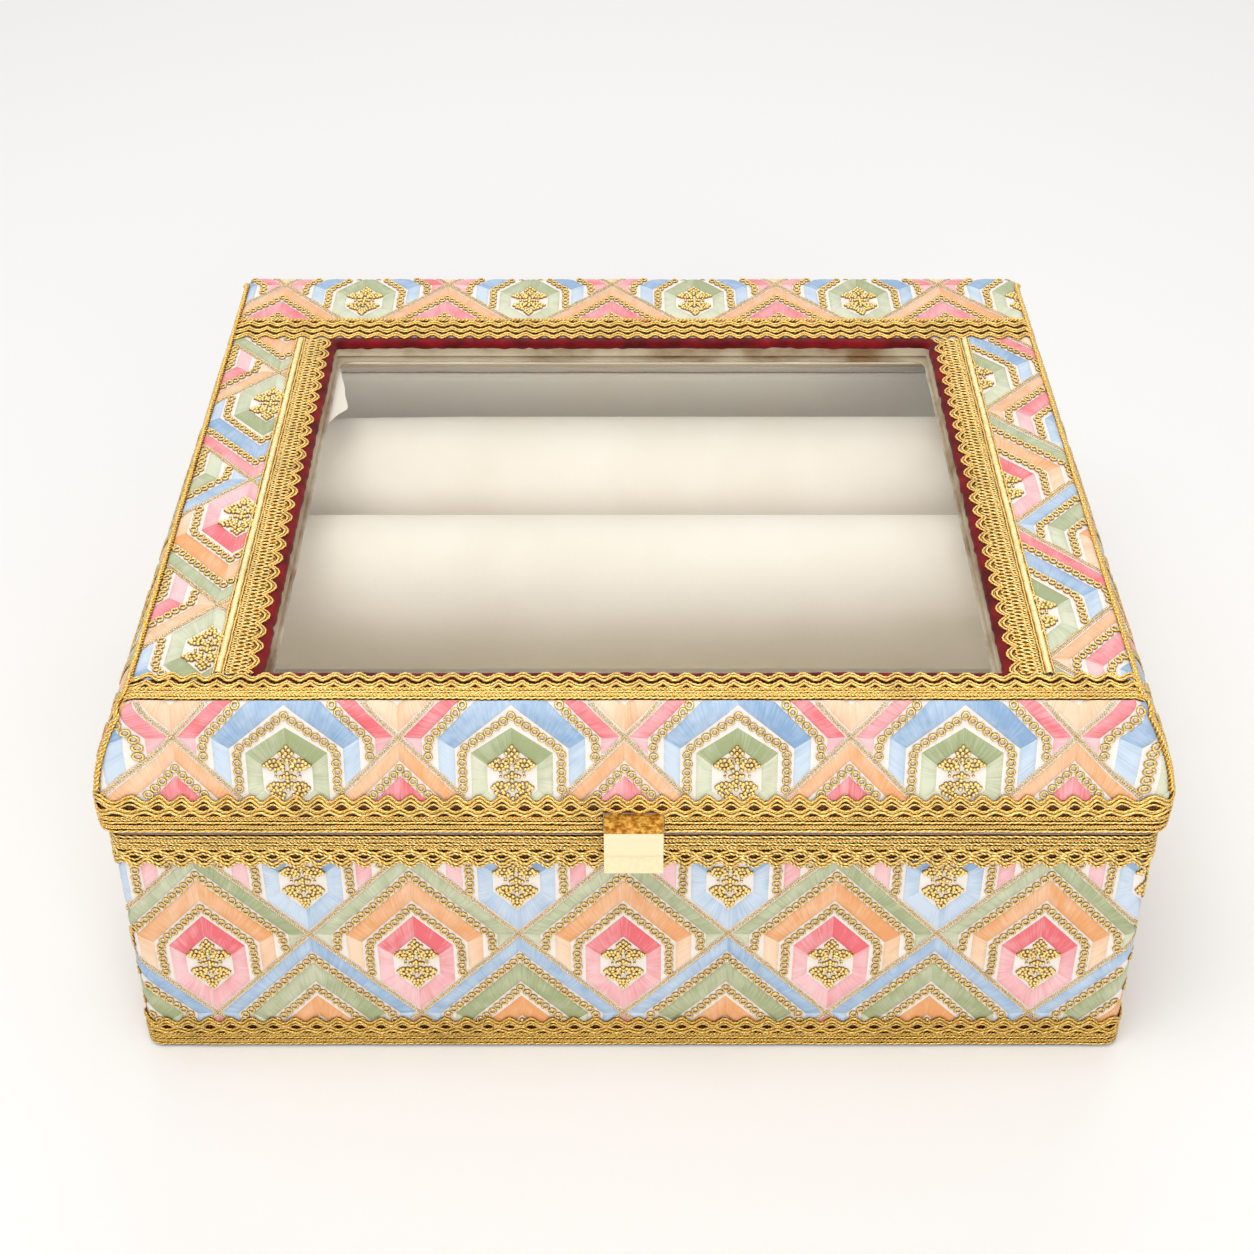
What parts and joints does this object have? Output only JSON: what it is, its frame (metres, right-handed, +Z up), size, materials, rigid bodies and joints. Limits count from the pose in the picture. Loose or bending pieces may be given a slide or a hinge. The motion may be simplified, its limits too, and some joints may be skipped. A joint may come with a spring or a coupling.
{
  "type": "bangle box",
  "caption": "Rectangular fabric covered box with a hinged glass lid, gold lace trim, a front clasp and padded rolls in notched rests that hold bangles.",
  "frame": {"origin": "middle of the underside, on the surface the box stands on", "axes": "+X to the box's right as seen from the front, +Y to the back, +Z up; the clasp faces -Y"},
  "size_m": [0.3048, 0.2765, 0.1306],
  "materials": {
    "embroidered_cloth": "off-white cloth with satin stitched bands in pink, peach, green and blue and gold ring chains",
    "gold_lace": "metallic gold thread lace and cord",
    "cream_velvet": "short pile cream velvet",
    "red_velvet": "short pile deep red velvet",
    "grey_board": "pressed board, stands in for dense greyboard",
    "clear_glass": "clear float glass",
    "glazing_tape": "aged translucent adhesive tape",
    "pale_brass": "polished pale gold plate",
    "beech_dowel": "sanded beech",
    "black_paper": "black paper sheet"
  },
  "bodies": {
    "base": {"base_wall_lining": "cream_velvet", "floor_pad": "cream_velvet", "roll_rest_left": "cream_velvet", "roll_rest_right": "cream_velvet", "base_board_back": "grey_board", "base_board_front": "grey_board", "base_board_left": "grey_board", "base_board_right": "grey_board", "bottom_board": "grey_board", "base_cover": "embroidered_cloth", "base_foot_lace": "gold_lace", "base_top_lace": "gold_lace", "base_rim_binding": "red_velvet", "underside_sheet": "black_paper", "catch_plate": "pale_brass", "catch_stud": "pale_brass", "hinge_leaf_base_left": "pale_brass", "hinge_leaf_base_right": "pale_brass", "hinge_pin_left": "pale_brass", "hinge_pin_right": "pale_brass", "hinge_nail_base_left_a": "pale_brass", "hinge_nail_base_left_b": "pale_brass", "hinge_nail_base_right_a": "pale_brass", "hinge_nail_base_right_b": "pale_brass"},
    "lid": {"lid_board_front": "grey_board", "lid_board_right": "grey_board", "lid_board_back": "grey_board", "lid_board_left": "grey_board", "lid_top_board": "grey_board", "lid_cover": "embroidered_cloth", "window_liner": "red_velvet", "glass_pane": "clear_glass", "glazing_tape": "glazing_tape", "lid_top_lining": "cream_velvet", "lid_wall_lining": "cream_velvet", "lid_rim_lace": "gold_lace", "window_lace_front": "gold_lace", "window_lace_back": "gold_lace", "window_lace_left": "gold_lace", "window_lace_right": "gold_lace", "lid_edge_cord_left": "gold_lace", "lid_edge_cord_right": "gold_lace", "hinge_leaf_lid_left": "pale_brass", "hinge_leaf_lid_right": "pale_brass", "clasp_tab": "pale_brass", "clasp_nail": "pale_brass", "hinge_nail_lid_left_a": "pale_brass", "hinge_nail_lid_left_b": "pale_brass", "hinge_nail_lid_right_a": "pale_brass", "hinge_nail_lid_right_b": "pale_brass"},
    "back_roll": {"back_roll_dowel": "beech_dowel", "back_roll_end_disc_left": "cream_velvet", "back_roll_end_disc_right": "cream_velvet", "back_roll_pad": "cream_velvet"},
    "front_roll": {"front_roll_dowel": "beech_dowel", "front_roll_end_disc_left": "cream_velvet", "front_roll_end_disc_right": "cream_velvet", "front_roll_pad": "cream_velvet"}
  },
  "joints": [
    {"name": "lid_hinge", "type": "hinge", "parent": "base", "child": "lid", "pos_m": [0, 0.1342, 0.09], "axis": [-1, 0, 0], "range_deg": [0, 105]},
    {"name": "back_roll_lift", "type": "slide", "parent": "base", "child": "back_roll", "axis": [0, 0, 1], "range_m": [0, 0.016]},
    {"name": "front_roll_lift", "type": "slide", "parent": "base", "child": "front_roll", "axis": [0, 0, 1], "range_m": [0, 0.016]}
  ]
}
